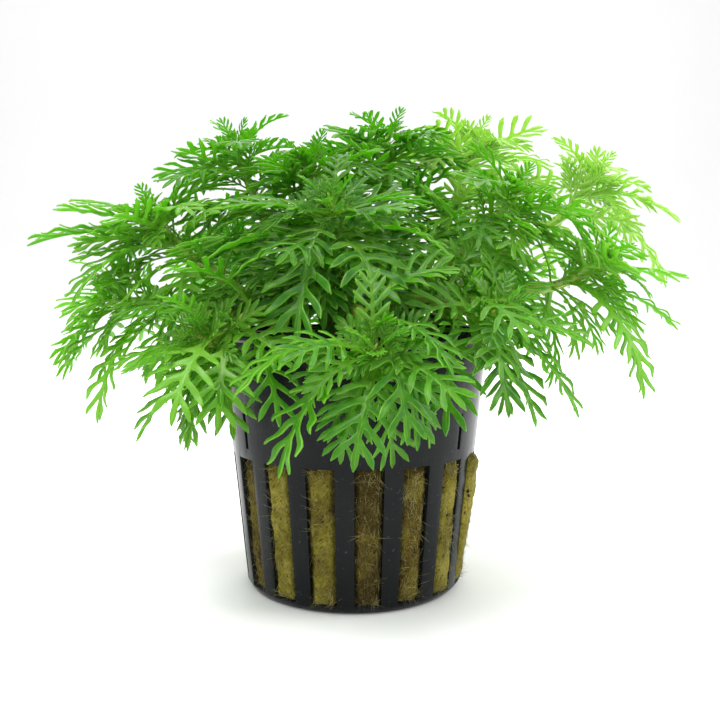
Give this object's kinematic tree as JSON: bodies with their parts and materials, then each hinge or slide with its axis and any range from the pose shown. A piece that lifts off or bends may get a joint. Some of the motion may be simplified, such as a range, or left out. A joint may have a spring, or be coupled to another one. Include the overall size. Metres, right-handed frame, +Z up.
{
  "type": "potted water violet",
  "caption": "Feather-leaved aquatic plant rooted in a mineral wool plug that fills a small black slotted net pot, standing on the pot's flat base.",
  "frame": {"origin": "centre of the pot's flat base", "axes": "+Z up, -Y towards the viewer of the picture, +X to the viewer's right"},
  "size_m": [0.1287, 0.1007, 0.0956],
  "materials": {
    "black_plastic": "smooth moulded black with a cool grey sheen, finely scuffed",
    "mineral_wool": "matt matted fibre, olive brown",
    "green_stem": "fleshy ridged stem, pale yellow-green, satin",
    "green_leaf": "thin leaf, mid green, satin above",
    "pale_leaf": "thin young leaf, pale lime green, satin above"
  },
  "bodies": {
    "root": {"leaf_back_left_1": "green_leaf", "leaf_back_left_2": "green_leaf", "leaf_back_middle_1": "green_leaf", "leaf_back_middle_2": "green_leaf", "leaf_back_right_1": "green_leaf", "leaf_back_right_2": "green_leaf", "leaf_far_right_1": "pale_leaf", "leaf_far_right_2": "pale_leaf", "leaf_front_high_1": "green_leaf", "leaf_front_high_2": "green_leaf", "leaf_front_high_3": "green_leaf", "leaf_front_high_4": "green_leaf", "leaf_front_low_1": "green_leaf", "leaf_front_low_2": "green_leaf", "leaf_front_low_3": "green_leaf", "leaf_front_low_4": "green_leaf", "leaf_front_low_5": "green_leaf", "leaf_left_high_1": "green_leaf", "leaf_left_high_2": "green_leaf", "leaf_left_high_3": "green_leaf", "leaf_left_low_1": "green_leaf", "leaf_left_low_2": "green_leaf", "leaf_left_low_3": "green_leaf", "leaf_left_low_4": "green_leaf", "leaf_left_side_1": "green_leaf", "leaf_left_side_2": "green_leaf", "leaf_left_side_3": "green_leaf", "leaf_right_high_1": "green_leaf", "leaf_right_high_2": "green_leaf", "leaf_right_low_1": "green_leaf", "leaf_right_low_2": "green_leaf", "leaf_right_low_3": "green_leaf", "leaf_right_low_4": "green_leaf", "leaf_right_side_1": "green_leaf", "leaf_right_side_2": "green_leaf", "leaf_right_side_3": "green_leaf", "leaf_top_left_1": "green_leaf", "leaf_top_left_2": "green_leaf", "leaf_top_middle_1": "green_leaf", "leaf_top_middle_2": "green_leaf", "leaf_top_right_1": "pale_leaf", "leaf_top_right_2": "pale_leaf", "mineral_wool": "mineral_wool", "pot": "black_plastic", "stem_back_left": "green_stem", "stem_back_middle": "green_stem", "stem_back_right": "green_stem", "stem_centre": "green_stem", "stem_far_right": "green_stem", "stem_front_high": "green_stem", "stem_front_low": "green_stem", "stem_left_high": "green_stem", "stem_left_low": "green_stem", "stem_left_side": "green_stem", "stem_right_high": "green_stem", "stem_right_low": "green_stem", "stem_right_side": "green_stem", "stem_top_left": "green_stem", "stem_top_middle": "green_stem", "stem_top_right": "green_stem"}
  },
  "joints": []
}
